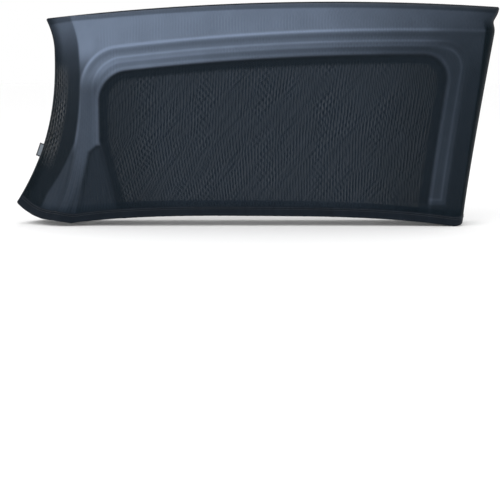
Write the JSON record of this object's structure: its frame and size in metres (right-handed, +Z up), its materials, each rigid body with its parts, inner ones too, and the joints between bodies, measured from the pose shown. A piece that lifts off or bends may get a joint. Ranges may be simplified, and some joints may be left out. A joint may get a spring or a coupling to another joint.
{
  "type": "car side window sunshade",
  "caption": "Stretch sleeve of black see-through knit, open along its elasticated lower hem, in the form it takes pulled over a side window frame.",
  "frame": {"origin": "the middle of the footprint, at the level of the lowest point of the mouth", "axes": "+X to the right seen from the cabin side, along the mouth; +Y from the cabin-side panel to the street-side panel; +Z up, away from the mouth"},
  "size_m": [0.9728, 0.115, 0.4452],
  "materials": {
    "inner_knit": "black warp-knit polyester mesh, see-through, matt with a faint sheen",
    "outer_knit": "the same knit on the street side",
    "seam_thread": "black overlock thread",
    "elastic_band": "black ribbed woven elastic",
    "label_ribbon": "dark woven ribbon, bare"
  },
  "bodies": {
    "root": {"inner_mesh_panel": "inner_knit", "outer_mesh_panel": "outer_knit", "edge_seam": "seam_thread", "hem_elastic": "elastic_band", "seam_label": "label_ribbon"}
  },
  "joints": []
}
